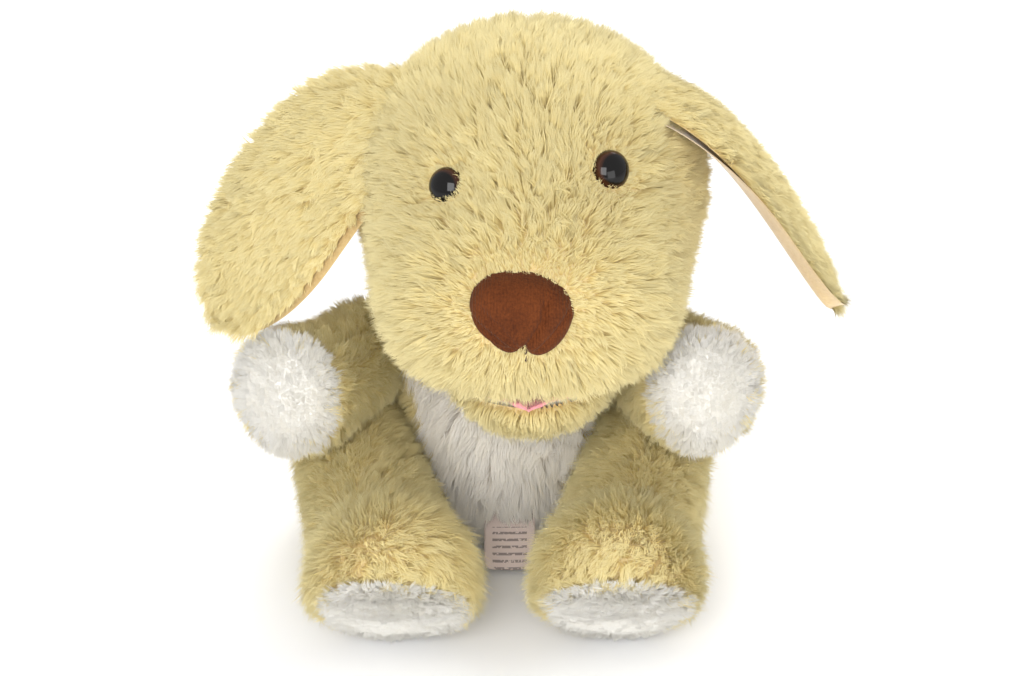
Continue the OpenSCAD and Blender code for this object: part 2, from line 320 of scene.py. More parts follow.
def velour_material(name, low_colour, high_colour, grain, strength, rib=0.0, sheen=0.5):
    """Short even pile: fine grain, soft shading and, on the nose, a faint rib."""
    m = Nodes(name)
    fine = m.noise(grain, 4.0)
    broad = m.noise(60)
    colour = m.ramp(m.math("ADD", m.math("MULTIPLY", fine, 0.6), m.math("MULTIPLY", broad, 0.4)),
                    (0.3, low_colour), (0.7, high_colour))
    height = fine
    if rib:
        wave = m.add("TexWave", Vector=m.place(), Scale=rib, Distortion=2.0, Detail=2.0)
        height = m.math("ADD", fine, m.math("MULTIPLY", wave.outputs["Fac"], 0.8))
    m.bump(height, strength)
    m.set(Base_Color=colour, Roughness=0.85, Sheen_Weight=sheen, Sheen_Roughness=0.4,
          Specular_IOR_Level=0.15)


def weave_material(name, warp, weft, threads):
    """Plain woven cloth: two crossing sets of threads, from the place on the cloth."""
    m = Nodes(name)
    across = m.add("TexWave", Vector=m.place(), Scale=threads, Distortion=0.4)
    across.bands_direction = "X"
    along = m.add("TexWave", Vector=m.place(), Scale=threads, Distortion=0.4)
    along.bands_direction = "Z"
    height = m.math("MULTIPLY", across.outputs["Fac"], along.outputs["Fac"])
    colour = m.shaded(m.mix(height, warp, weft), m.noise(80), (0.9, 0.89, 0.87, 1), 0.3, 0.7)
    m.bump(height, 0.5)
    m.set(Base_Color=colour, Roughness=0.85, Sheen_Weight=0.3, Specular_IOR_Level=0.25)


def eye_material():
    """A black dome with a brown rim that lets a little light through."""
    m = Nodes("eye_plastic")
    colour = m.ramp(m.attribute("rim"), (0.0, srgb(6, 5, 5)), (0.7, srgb(8, 6, 5)),
                    (0.86, srgb(66, 36, 20)), (1.0, srgb(36, 20, 12)))
    colour = m.mix(m.math("MULTIPLY", m.noise(400), 0.15), colour, srgb(14, 9, 7))
    m.set(Base_Color=colour, Roughness=0.05, Specular_IOR_Level=0.3)


def label_material():
    """Ribbed satin printed with plain bars in place of any words."""
    m = Nodes("label_satin")
    across, down = m.attribute("label_across"), m.attribute("label_down")
    row = m.math("FRACT", m.math("MULTIPLY", down, 9.0), 0.0)
    bar = m.math("MULTIPLY", m.math("GREATER_THAN", row, 0.62), m.math("GREATER_THAN", down, 0.32))
    for edge, how in ((0.16, "GREATER_THAN"), (0.84, "LESS_THAN")):
        bar = m.math("MULTIPLY", bar, m.math(how, across, edge))
    broken = m.math("GREATER_THAN", m.noise(900, 1.0), 0.42)
    bar = m.math("MULTIPLY", bar, broken)
    colour = m.mix(m.math("MULTIPLY", bar, 0.75), srgb(204, 186, 178), srgb(96, 84, 82))
    rib = m.add("TexWave", Vector=m.place(), Scale=900.0)
    m.bump(rib.outputs["Fac"], 0.3, 0.0002)
    m.set(Base_Color=colour, Roughness=0.38, Sheen_Weight=0.4, Anisotropic=0.5)


def plain_material(name, dark, light, scale, roughness, bump=0.2):
    """Small moulded, pressed or spun things: two close shades and a fine grain."""
    m = Nodes(name)
    grain = m.noise(scale, 5.0)
    m.bump(grain, bump)
    m.set(Base_Color=m.ramp(grain, (0.35, dark), (0.65, light)), Roughness=roughness)


# Each fur's first colour is its root, made darker and warmer as painted shade deep in the pile.
CREAM_ROOT_SHADE, CREAM, CREAM_TIP = srgb(218, 184, 112), srgb(234, 212, 144), srgb(243, 230, 178)
fur_material("cream_fur", CREAM_ROOT_SHADE, CREAM, CREAM_TIP)
fur_material("white_fur", srgb(236, 222, 200), srgb(250, 244, 234), srgb(252, 249, 243))
fur_material("white_nap", srgb(226, 222, 212), srgb(236, 233, 226), srgb(242, 240, 234))
velour_material("cream_backing", srgb(216, 190, 134), srgb(234, 212, 160), 900, 0.5)
velour_material("white_backing", srgb(228, 218, 202), srgb(244, 238, 226), 900, 0.5)
velour_material("white_velour", srgb(230, 227, 218), srgb(242, 240, 235), 700, 0.4)
velour_material("tan_velour", srgb(196, 162, 104), srgb(222, 194, 138), 800, 0.5)
velour_material("brown_velour", srgb(62, 27, 9), srgb(106, 54, 21), 1100, 0.7, rib=260.0, sheen=0.03)
velour_material("pink_felt", srgb(212, 128, 134), srgb(236, 164, 168), 1000, 0.6)
weave_material("glove_cloth", srgb(214, 204, 184), srgb(236, 228, 210), 260)
weave_material("hem_tape", srgb(198, 172, 118), srgb(222, 200, 150), 320)
plain_material("brown_thread", srgb(40, 20, 12), srgb(66, 34, 20), 2500, 0.7)
plain_material("fibre_filling", srgb(226, 226, 222), srgb(246, 246, 243), 600, 0.95, bump=0.8)
plain_material("mouth_board", srgb(178, 150, 108), srgb(204, 180, 140), 500, 0.9)
plain_material("washer_plastic", srgb(214, 214, 210), srgb(232, 232, 228), 300, 0.5)
eye_material()
label_material()

# ---- Meshes and pieces ----


def new_piece(name, points, loops, sizes, material_names, body, nodes, slots_per_face=None):
    """A mesh object from flat arrays, riding on a body and standing for CAD nodes."""
    mesh = bpy.data.meshes.new(name)
    mesh.vertices.add(len(points))
    mesh.vertices.foreach_set("co", np.asarray(points, np.float32).ravel())
    mesh.loops.add(len(loops))
    mesh.loops.foreach_set("vertex_index", np.asarray(loops, np.int32))
    starts = np.concatenate([[0], np.cumsum(sizes)[:-1]]).astype(np.int32)
    mesh.polygons.add(len(sizes))
    mesh.polygons.foreach_set("loop_start", starts)
    mesh.polygons.foreach_set("use_smooth", np.ones(len(sizes), bool))
    if slots_per_face is not None:
        mesh.polygons.foreach_set("material_index", np.asarray(slots_per_face, np.int32))
    mesh.update(calc_edges=True)
    for material_name in material_names:
        mesh.materials.append(MATERIALS[material_name])
    piece = bpy.data.objects.new(name, mesh)
    bpy.context.scene.collection.objects.link(piece)
    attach(piece, body)
    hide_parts(*nodes)
    return piece


def one_material_piece(name, points, faces, material, body, *nodes):
    """A piece of one material whose faces all have as many corners."""
    corners = np.full(len(faces), faces.shape[1])
    return new_piece(name, points, faces.ravel(), corners, [material], body, nodes)


def set_attribute(piece, name, values):
    attribute = piece.data.attributes.new(name, "FLOAT", "POINT")
    attribute.data.foreach_set("value", np.asarray(values, np.float32))


def seeded(name):
    return np.random.default_rng(zlib.crc32(name.encode()))


STEPS = np.array([0.0, 0.55, 1.0])  # places along a blade of pile
WIDTHS = np.array([1.0, 0.75])      # its width at all but the tip
ROW_POINTS = [2, 2, 1]              # vertices at each of those places
BLADE_POINTS = sum(ROW_POINTS)
BLADE_QUAD = np.array([0, 1, 3, 2])
BLADE_TIP = np.array([2, 3, 4])
MOST_BLADES = 60000
FLOOR_CLEARANCE = 0.3 * MM
TUFT_SWAY, BLADE_SWAY = 0.36, 0.16  # how far whole tufts and single blades stray from the flow


def grow_pile(rng, skin, count, length, flow, tuft, lean, width, clump):
    """Blades standing on a skin: their points, each blade's tone, and the normal each is lit by."""
    pick = rng.choice(len(skin.faces), count, p=skin.area / skin.area.sum())
    a, b = rng.random((2, count))
    flip = a + b > 1
    a, b = np.where(flip, 1 - a, a), np.where(flip, 1 - b, b)
    weights = np.stack([1 - a - b, a, b], axis=1)[:, :, None]
    roots = (skin.points[skin.faces[pick]] * weights).sum(axis=1)
    normals = unit((skin.normals[skin.faces[pick]] * weights).sum(axis=1))

    wander = 0.35 * tuft * np.sin(roots[:, [1, 2, 0]] / tuft * 1.7 + rng.random(3) * 6)
    _, member = np.unique(np.floor((roots + wander) / tuft).astype(int), axis=0, return_inverse=True)
    member = member.ravel()
    size = np.bincount(member)
    tuft_root = np.stack([np.bincount(member, roots[:, i]) / size for i in range(3)], axis=1)[member]
    tuft_sway = rng.normal(0, TUFT_SWAY, (len(size), 3))[member]
    tuft_tone = rng.random(len(size))[member]
    tuft_length = rng.normal(1, 0.1, len(size))[member]

    way = flow(roots) + tuft_sway + rng.normal(0, BLADE_SWAY, (count, 3))
    way = way - normals * (way * normals).sum(axis=1, keepdims=True)
    strength = np.clip(np.linalg.norm(way, axis=1, keepdims=True), 0.2, 1)
    way = unit(way) * strength
    angle = np.radians(lean) * rng.normal(1, 0.14, (count, 1))
    reach = (length(roots) * tuft_length * rng.uniform(0.78, 1.12, count))[:, None]

    points = []
    for s in STEPS:
        bend = angle * (0.55 + 0.45 * s)
        tip = normals * np.cos(bend) + way * np.sin(bend)
        gather = clump * s ** 1.5
        points.append(roots + reach * s * tip + (tuft_root - roots) * gather)
    heading = unit(points[-1] - points[0])
    side = unit(np.cross(heading, normals) + 1e-6)
    twist = rng.uniform(-0.7, 0.7, (count, 1))
    side = side * np.cos(twist) + np.cross(heading, side) * np.sin(twist)
    half = side * width / 2 * rng.uniform(0.75, 1.2, (count, 1))
    rows = []
    for centre, wide in zip(points[:-1], WIDTHS):
        rows += [centre - half * wide, centre + half * wide]
    rows.append(points[-1])
    blades = np.stack(rows, axis=1).reshape(-1, 3)
    blades[:, 2] = np.maximum(blades[:, 2], FLOOR_CLEARANCE)
    tone = np.clip(0.7 * tuft_tone + 0.3 * rng.random(count), 0, 1)
    facing = unit(normals + 0.35 * way + 0.3 * tuft_sway + rng.normal(0, 0.08, (count, 3)))
    return blades, tone, facing


def plush(name, skin, body, node, flow, length, per_mm2=3.0, fur="cream_fur", backing="cream_backing",
          tuft=3.4 * MM, lean=46, width=0.36 * MM, clump=0.36):
    """A padded panel with pile: the skin and all its blades in one piece."""
    rng = seeded(name)
    count = int(min(skin.area.sum() / MM ** 2 * per_mm2, MOST_BLADES))
    blades, tone, facing = grow_pile(rng, skin, count, length, flow, tuft, lean, width, clump)
    base = len(skin.points) + BLADE_POINTS * np.arange(count)
    quads = base[:, None] + BLADE_QUAD
    tips = base[:, None] + BLADE_TIP
    loops = np.concatenate([skin.faces.ravel(), quads.ravel(), tips.ravel()])
    sizes = np.concatenate([np.full(len(skin.faces), 3), np.full(count, 4), np.full(count, 3)])
    which = np.concatenate([np.zeros(len(skin.faces)), np.ones(2 * count)])
    points = np.concatenate([skin.points, blades])
    piece = new_piece(name, points, loops, sizes, [backing, fur], body, [node], which)
    along = np.tile(np.repeat(STEPS, ROW_POINTS), count)
    tone = np.repeat(tone, BLADE_POINTS)
    set_attribute(piece, "along", np.concatenate([np.zeros(len(skin.points)), along]))
    set_attribute(piece, "tone", np.concatenate([np.full(len(skin.points), 0.5), tone]))
    piece.data.normals_split_custom_set_from_vertices(
        np.concatenate([skin.normals, np.repeat(facing, BLADE_POINTS, axis=0)]))


def filling(name, field, centre, body, node):
    """The loose fibre inside a closed limb, just under its skin."""
    skin = skin_of(lambda p: field(p) + 3 * MM, centre, 4)
    lumps = swirl(skin.points, 300).sum(axis=1) * 0.3 * MM
    points = skin.points + skin.normals * lumps[:, None]
    one_material_piece(name, points, skin.faces, "fibre_filling", body, node)


def even(value):
    """The same length of pile all over."""
    return lambda p: np.full(len(p), value)


# ---- Head ----


def eye_frame(side):
    """The middle of an eye's rim and the way it faces."""
    out = unit(middle(f"eye_{SIDES[side]}") - skull)
    return skull + out * skull_r, out


forehead_half = (high("forehead_right")[0] - low("forehead_left")[0]) / 2
bridge_z = high("muzzle")[2]
snout_back = high("muzzle")[1]
cheek_back = high("cheek_left")[1]


def head_field(p):
    spread = np.array([11 * MM, 0, 0])
    shape = ellipsoid(p, skull, [1.03 * skull_r, skull_r, 0.965 * skull_r])
    shape = melt(shape, rod(p, snout - spread, snout + spread, snout_r, snout_r), 16 * MM)
    nape = np.array([neck[0], neck[1], head_base + 14 * MM])
    shape = melt(shape, rod(p, nape - trunk_spread, nape + trunk_spread, 32 * MM, 32 * MM), 14 * MM)
    behind_chin = smoothstep(p[:, 1], -10 * MM, 15 * MM)
    return trim(shape, head_base - (1 + behind_chin) * MM - p[:, 2], (16 - 8 * behind_chin) * MM)


def away_from(p, point, reach):
    """Pile pushed away from a point, fading with distance."""
    out = p - point
    return unit(out) * np.exp(-np.linalg.norm(out, axis=1, keepdims=True) / reach)


def head_flow(p):
    way = unit(p - (nose + np.array([0, -10 * MM, -4 * MM])))
    way += np.array([0, 0.1, -0.25])
    part = np.sign(p[:, :1] - head_x) * np.exp(-np.abs(p[:, :1] - head_x) / (5 * MM))
    way += part * np.array([0.4, 0, 0]) * (p[:, 2:] > bridge_z - 8 * MM)
    for side in SIDES:
        way += 1.2 * away_from(p, eye_frame(side)[0], 8 * MM)
    return way + 0.35 * swirl(p, 55, 1.3)


def head_length(p):
    """Shorter in the seams, round the eyes and round the nose."""
    length = np.full(len(p), HEAD_PILE)
    seam = np.abs(p[:, 0] - head_x) + 30 * MM * (p[:, 2] < bridge_z - 5 * MM)
    bridge = np.abs(p[:, 2] - bridge_z) + 30 * MM * (p[:, 1] > snout_back)
    for distance in (seam, bridge):
        length *= 0.8 + 0.2 * smoothstep(distance, 0, 5 * MM)
    for side in SIDES:
        gap = np.linalg.norm(p - eye_frame(side)[0], axis=1)
        length *= 0.32 + 0.68 * smoothstep(gap, 7 * MM, 19 * MM)
    oval = np.linalg.norm((p - nose) / np.array([1.25, 1.0, 1.0]), axis=1)
    length *= 0.4 + 0.6 * smoothstep(oval, 16 * MM, 34 * MM)
    return length


def build_head():
    whole = skin_of(head_field, skull + np.array([0, -15 * MM, -12 * MM]), 6)

    def on_muzzle(c):
        return (c[:, 1] < snout_back) & (c[:, 2] < bridge_z)

    def behind(c):
        return c[:, 1] > cheek_back

    def on_forehead(c):
        return (np.abs(c[:, 0] - head_x) < forehead_half) & (c[:, 2] > skull[2])

    def on_side(c, side):
        return ((c[:, 0] - head_x) * side >= 0) & ~on_muzzle(c) & ~behind(c)

    parts = {"muzzle": on_muzzle, "head_back": behind}
    for side, name in SIDES.items():
        parts[f"forehead_{name}"] = lambda c, side=side: on_side(c, side) & on_forehead(c)
        parts[f"cheek_{name}"] = lambda c, side=side: on_side(c, side) & ~on_forehead(c)
    for node, keep in parts.items():
        plush(f"{node}_plush", whole.part(keep), "head", node, head_flow, head_length, per_mm2=4.4)


# ---- Nose ----


def groove(p, points, width, depth):
    """How deep a crease along a short line of points is at each place."""
    deep = np.zeros(len(p))
    for a, b in zip(points[:-1], points[1:]):
        a, b = np.asarray(a), np.asarray(b)
        line = b - a
        t = np.clip((p[:, [0, 2]] - a) @ line / (line @ line), 0, 1)
        gap = np.linalg.norm(p[:, [0, 2]] - (a + t[:, None] * line), axis=1)
        deep = np.maximum(deep, depth * np.exp(-(gap / width) ** 2))
    return deep


def build_nose():
    """A stuffed nose: wide and flat on top, narrow below, with creases drawn in where it is gathered."""
    half_w = half_size("nose")[0] - 1 * MM
    half_h = 17 * MM
    half_d = 15 * MM
    centre = nose + np.array([-1 * MM, 2 * MM, -2 * MM])

    def field(p):
        q = (p - centre) / np.array([half_w, half_d, half_h])
        narrow = 1 + 0.28 * np.clip(-q[:, 2], 0, 1)
        slope = q[:, 2] + 0.12 * q[:, 0]
        flat = np.where(slope > 0, 1.1, 1.0)
        power = 2.35
        return ((np.abs(q[:, 0] * narrow) ** power + np.abs(q[:, 1]) ** power
                 + np.abs(slope * flat) ** power) ** (1 / power) - 1) * half_d

    skin = skin_of(field, centre, 6, 0.05)
    local = (skin.points - centre) / MM
    # Each crease: its line in X and Z from the nose's middle, its width and its depth, all in millimetres.
    creases = [
        ([(10, 9), (9, 3), (5, -4), (1, -11), (0, -16)], 1.7, 2.4),
        ([(-20, 1), (-11, -5), (-2, -14)], 1.5, 1.6),
        ([(-18, -7), (-9, -11), (-1, -15)], 1.3, 1.5),
        ([(-15, 6), (-8, 0), (-2, -9)], 1.6, 0.9),
        ([(19, 3), (12, -5), (4, -14)], 1.5, 1.5),
    ]
    depth = sum(groove(local, line, wide, deep) for line, wide, deep in creases)
    gather = 3.0 * np.exp(-((local[:, 0] / 3) ** 2 + ((local[:, 2] + 15) / 4) ** 2))
    front = smoothstep(-skin.normals[:, 1], -0.1, 0.4)
    moved = skin.points - skin.normals * ((depth + gather) * front * MM)[:, None]
    piece = one_material_piece("nose_padded", moved, skin.faces, "brown_velour", "head", "nose")


def build_nose_stitch():
    """The thread from under the nose down the muzzle, as a row of short stitches."""
    top = high("nose_stitch")
    bottom = low("nose_stitch")
    stitches = 4
    half = (top[2] - bottom[2]) / stitches / 2
    ball, ball_faces = ball_mesh(2)
    points, faces = [], []
    for i in range(stitches):
        z = top[2] - (i + 0.5) * (top[2] - bottom[2]) / stitches
        place = np.array([head_x, snout[1] - math.sqrt(snout_r ** 2 - (z - snout[2]) ** 2) - 1.2 * MM, z])
        points.append(place + ball * np.array([0.6 * MM, 0.7 * MM, half]))
        faces.append(ball_faces + i * len(ball))
    one_material_piece("nose_stitches", np.concatenate(points), np.concatenate(faces), "brown_thread",
                       "head", "nose_stitch")


# ---- Eyes ----


def build_eye(side):
    """A domed plastic eye with a thin rim, its flat back on the head."""
    centre, out = eye_frame(side)
    radius, dome = 7.8 * MM, 5.4 * MM
    turn = np.array(Vector(out).to_track_quat("Z", "Y").to_matrix())
    rings, around = 18, 48
    profile = []
    for i in range(rings + 1):
        angle = math.pi / 2 * i / rings
        profile.append((radius * math.sin(angle), 1 * MM + dome * math.cos(angle)))
    profile += [(radius * 1.02, -0.7 * MM), (radius * 0.96, -1.6 * MM), (radius * 0.6, -2.4 * MM)]
    points, faces, rim = lathe(profile, around)
    points = centre + points @ turn.T
    name = f"eye_{SIDES[side]}"
    piece = one_material_piece(f"{name}_dome", points, faces, "eye_plastic", "head", name)
    set_attribute(piece, "rim", rim)


def lathe(profile, around):
    """A profile of (radius, height) turned about Z, and each point's radius as a share of the widest."""
    profile = np.array(profile)
    turn = np.linspace(0, 2 * math.pi, around, endpoint=False)
    r, h = profile[:, :1], profile[:, 1:]
    height = np.broadcast_to(h, (len(profile), around))
    points = np.stack([r * np.cos(turn), r * np.sin(turn), height], axis=2)
    share = np.repeat(profile[:, 0] / profile[:, 0].max(), around)
    return points.reshape(-1, 3), ring_faces(len(profile), around), share


def ring_faces(rings, around, closed=False):
    """The faces from each ring of points to the next, and if closed from the last to the first."""
    i, j = np.meshgrid(np.arange(rings if closed else rings - 1), np.arange(around), indexing="ij")
    here, beyond, ahead = i * around, (i + 1) % rings * around, (j + 1) % around
    return np.stack([here + j, beyond + j, beyond + ahead, here + ahead], axis=2).reshape(-1, 4)


# ---- Jaw and mouth ----

jaw_top = high("jaw_fur")[2]


def build_jaw():
    lip = middle("jaw_fur")
    radius = half_size("jaw_fur")[0]
    deep = 2 * half_size("jaw_fur")[2]
    centre = np.array([lip[0], lip[1] - 1 * MM, jaw_top])

    def field(p):
        return trim(ellipsoid(p, centre, [radius, radius, deep]), p[:, 2] - jaw_top, 5 * MM)

    skin = skin_of(field, centre - UP * deep / 2, 5)
    plush("jaw_plush", skin.part(lambda c: c[:, 2] < jaw_top - 1.5 * MM), "jaw", "jaw_fur",
          lambda p: unit(p - centre) * 0.8 + np.array([0, -0.3, -0.5]), even(JAW_PILE), per_mm2=3.4)


def felt_disc(name, nodes, centre, radius, thickness, body):
    """A soft round of felt whose edge rolls over its board, with a wavy rim."""
    steps = 14
    profile = [(1e-5, thickness * 0.35)]
    for i in range(1, steps + 1):
        share = i / steps
        profile.append((radius * share * 0.985, thickness * (0.35 + 0.12 * math.sin(share * math.pi * 3))))
    profile += [(radius * 1.01, 0), (radius * 0.985, -thickness * 0.5), (1e-5, -thickness * 0.5)]
    points, faces, _ = lathe(profile, 96)
    turn = np.arctan2(points[:, 1], points[:, 0])
    points[:, 2] += 0.25 * MM * np.sin(9 * turn) * (np.hypot(points[:, 0], points[:, 1]) / radius) ** 2
    piece = one_material_piece(name, points + centre, faces, "pink_felt", body, *nodes)


def build_mouth():
    for part, nodes, body in (("upper", ["upper_mouth_lining", "upper_mouth_board"], "head"),
                              ("lower", ["lower_mouth_lining", "lower_mouth_board"], "jaw")):
        lo = np.minimum(low(nodes[0]), low(nodes[1]))
        hi = np.maximum(high(nodes[0]), high(nodes[1]))
        thick = hi[2] - lo[2]
        felt_disc(f"{part}_mouth_felt", nodes, (lo + hi) / 2, (hi[0] - lo[0]) / 2, thick, body)


def build_tongue():
    """A flat tongue of felt whose rounded tip rolls over the lower lip."""
    lo, hi = low("tongue"), high("tongue")
    half_w = (hi[0] - lo[0]) / 2
    back = hi[1]
    tip = low("muzzle")[1] + 6.5 * MM
    trough = 0.6 * MM

    def place(t, share):
        s = 2 * share - 1
        round_tip = math.sqrt(max(1e-4, 1 - max(0, (t - 0.7) / 0.3) ** 2))
        width = half_w * (0.85 + 0.15 * math.sin(math.pi * t)) * round_tip
        z = hi[2] - 9 * MM * max(0, t - 0.8) ** 1.4 - trough * (1 - abs(s)) ** 0.5 + trough * abs(s)
        return [head_x + s * width, back + (tip - back) * t, z]

    piece = closed_sheet("tongue_felt", place, 24, 16, 1.4 * MM, "pink_felt", "jaw", "tongue")


def grid_of(rows, columns, place):
    """place(t, s) for each point of a grid: t runs down it and s across, both from 0 to 1."""
    return np.array([place(i / rows, j / columns) for i in range(rows + 1) for j in range(columns + 1)])


def grid_faces(rows, columns):
    i, j = np.meshgrid(np.arange(rows), np.arange(columns), indexing="ij")
    a = i * (columns + 1) + j
    return np.stack([a, a + 1, a + columns + 2, a + columns + 1], axis=2).reshape(-1, 4)


def closed_sheet(name, place, rows, columns, thickness, material, body, node):
    """A sheet through the points place(t, s), given a thickness, with its edges closed."""
    grid = grid_of(rows, columns, place)
    faces = grid_faces(rows, columns)
    under = grid - Skin(grid, halved(faces)).normals * thickness
    count = len(grid)
    index = np.arange(count).reshape(rows + 1, columns + 1)
    border = np.concatenate([index[0, :-1], index[:-1, -1], index[-1, :0:-1], index[:0:-1, 0]])
    ahead = np.roll(border, -1)
    walls = np.stack([border, border + count, ahead + count, ahead], axis=1)
    every = np.concatenate([faces, faces[:, ::-1] + count, walls])
    return one_material_piece(name, np.concatenate([grid, under]), every, material, body, node)


# ---- Ears ----

# The left ear hangs flat and shows its fur. The right one is turned and rolled, so its lining shows.
EAR_TURN = {LEFT: math.radians(0), RIGHT: math.radians(13)}
EAR_ROLL = {LEFT: 5 * MM, RIGHT: 9 * MM}
EAR_FUR_EDGE = {LEFT: 0.86, RIGHT: 0.72}
EAR_TIP_SHIFT = {LEFT: np.array([-5, 0, -6]) * MM, RIGHT: np.array([4, 0, -2]) * MM}


class EarShape:
    """An ear's own axes, found from its CAD nodes: along to the tip, across, and out to the fur side."""

    def __init__(self, side):
        name = SIDES[side]
        lining = node_points(f"ear_{name}_lining")
        fur = node_points(f"ear_{name}_fur")
        centre = lining.mean(axis=0)
        _, _, axes = np.linalg.svd(lining - centre, full_matrices=False)
        self.along = axes[0] * (-1 if axes[0][2] > 0 else 1)
        self.out = axes[2] * np.sign(axes[2] @ (fur.mean(axis=0) - centre))
        self.across = np.cross(self.along, self.out)
        if self.across @ np.array([-side, -1, 0]) < 0:
            self.across = -self.across
        turn = EAR_TURN[side]
        self.across, self.out = (self.across * math.cos(turn) - self.out * math.sin(turn),
                                 self.out * math.cos(turn) + self.across * math.sin(turn))
        reach = (lining - centre) @ self.along
        wide = (lining - centre) @ self.across
        self.width = wide.max() - wide.min()
        self.roll = EAR_ROLL[side]
        root = joint_centre(f"ear_{name}_flap")
        tip = centre + self.along * (reach.max() + 5 * MM) + self.across * (wide.max() + wide.min()) / 2
        tip = tip + EAR_TIP_SHIFT[side]
        inward = np.array([-side, 0, 0])
        self.spine = [root + inward * 26 * MM - UP * 3 * MM, root + UP * 12 * MM - inward * 4 * MM,
                      root + (tip - root) * 0.45 + self.out * 9 * MM, tip]

    def middle_line(self, t):
        """The ear's middle line at t, and the way it runs there."""
        a, b, c, d = self.spine
        t = t[:, None]
        r = 1 - t
        place = a * r ** 3 + 3 * b * r ** 2 * t + 3 * c * r * t ** 2 + d * t ** 3
        run = 3 * ((b - a) * r ** 2 + 2 * (c - b) * r * t + (d - c) * t ** 2)
        return place, unit(run)

    def half_width(self, t):
        """Narrow at the root, widest past the middle, and round at the tip."""
        root, widest, peak = 0.3, 0.54, 0.68
        swell = root + (widest - root) * np.sin(np.pi / 2 * np.clip(t / peak, 0, 1)) ** 1.3
        tip = widest * np.sqrt(np.clip(1 - ((t - peak) / (1 - peak)) ** 2, 0, 1))
        return self.width * np.where(t < peak, swell, tip)

    def point(self, t, s, height):
        """A point at t along and s across, -1 to 1, over the lining's face. The edge at s = 1 rolls out."""
        place, run = self.middle_line(t)
        out = unit(np.cross(self.across, run))
        out = out * np.sign(out @ self.out)[:, None]
        rolled = self.roll * smoothstep(s, 0.3, 1.1) * smoothstep(t, 0.2, 0.75)
        cupped = 5 * MM * np.clip(-s, 0, 1) ** 2 * np.sin(np.pi * t)
        lift = height + rolled - cupped
        return place + self.across * (s * self.half_width(t))[:, None] + out * lift[:, None]


def ear_skin(shape, base, crown, start, end):
    """One face of an ear: a padded leaf, crowned between its edges, from s = start to end across."""
    rows, columns = 60, 36
    t = np.repeat(np.linspace(0, 1, rows + 1) ** 0.85 * 0.9995, columns + 1)
    share = np.tile(np.linspace(0, 1, columns + 1), rows + 1)
    dome = crown * np.sqrt(4 * share * (1 - share)) * np.sqrt(1 - t ** 6)
    points = shape.point(t, start + share * (end - start), base + dome)
    triangles = halved(grid_faces(rows, columns))
    skin = Skin(points, triangles)
    if (skin.normals @ shape.out).mean() * crown < 0:
        skin = Skin(points, triangles[:, ::-1])
    return skin


def build_ear(side):
    shape = EarShape(side)
    name = SIDES[side]
    body = f"ear_{name}"
    root, tip = shape.spine[0], shape.spine[-1]
    reach = (tip - root) @ shape.along
    fur_edge = EAR_FUR_EDGE[side]

    def run_and_share(p):
        """The way the ear runs beside each point, and how far across it the point is."""
        centre, run = shape.middle_line(np.clip((p - root) @ shape.along / reach, 0, 1))
        return run, (p - centre) @ shape.across / (shape.width / 2)

    def flow(p):
        run, s = run_and_share(p)
        spread = np.where(s > 0, 0.1 * s, -1.1 * np.abs(s) ** 1.5)
        return run + spread[:, None] * shape.across + 0.15 * swirl(p, 70, order=(2, 0, 1))

    def length(p):
        _, s = run_and_share(p)
        return EAR_PILE * (1 - 0.5 * smoothstep(s, fur_edge - 0.3, fur_edge + 0.1))

    plush(f"ear_{name}_plush", ear_skin(shape, 2.2 * MM, 3.5 * MM, -1, fur_edge), body, f"ear_{name}_fur",
          flow, length, per_mm2=5.5, lean=64, width=0.35 * MM)
    lining = ear_skin(shape, 2.0 * MM, -2.6 * MM, -0.92, 1)
    piece = one_material_piece(f"ear_{name}_velour", lining.points, lining.faces, "tan_velour", body,
                               f"ear_{name}_lining")


# ---- Body ----

belly = np.array([0, 10 * MM, 30 * MM])


def body_field(p):
    """A round belly, a trunk up to the neck and a tube back to the sleeve's mouth."""
    shape = ellipsoid(p, belly, [40 * MM, 40 * MM, 42 * MM])
    waist = np.array([0, neck[1], 24 * MM])
    chest = np.array([0, neck[1], chest_top - 12 * MM])
    mouth_in = np.array([0, 30 * MM, sleeve[2]])
    mouth_out = np.array([0, sleeve[1], sleeve[2]])
    trunk, tube = np.full(len(p), 1.0), np.full(len(p), 1.0)
    tube_r = 25.5 * MM
    for side in SIDES:
        aside = side * trunk_spread
        trunk = np.minimum(trunk, rod(p, waist + aside, chest + aside, 28 * MM, 27 * MM))
        tube = np.minimum(tube, rod(p, mouth_in + aside, mouth_out + aside, tube_r, tube_r))
    shape = melt(shape, trim(trunk, p[:, 2] - chest_top - 1 * MM, 7 * MM), 14 * MM)
    shape = melt(shape, tube, 8 * MM)
    shape = trim(shape, p[:, 1] - sleeve[1], 3 * MM)
    return trim(shape, 0.5 * MM - p[:, 2], 5 * MM)


def stadium_gap(p, half_spread, radius):
    """Distance in X and Z from the sleeve's mouth outline."""
    x = np.maximum(np.abs(p[:, 0] - sleeve[0]) - half_spread, 0)
    return np.hypot(x, p[:, 2] - sleeve[2]) - radius


hem_r = half_size("hem_band")[2]
hem_spread = half_size("hem_band")[0] - hem_r


def on_belly(c):
    """Inside the white panel, which widens from the seat up to the chest."""
    foot, foot_half, widening = 8 * MM, 14 * MM, 31 * MM
    half = foot_half + (c[:, 2] - foot) / (chest_top - foot) * widening
    return (c[:, 1] < belly[1]) & (np.abs(c[:, 0] - 2 * MM) < half) & (c[:, 2] > foot)


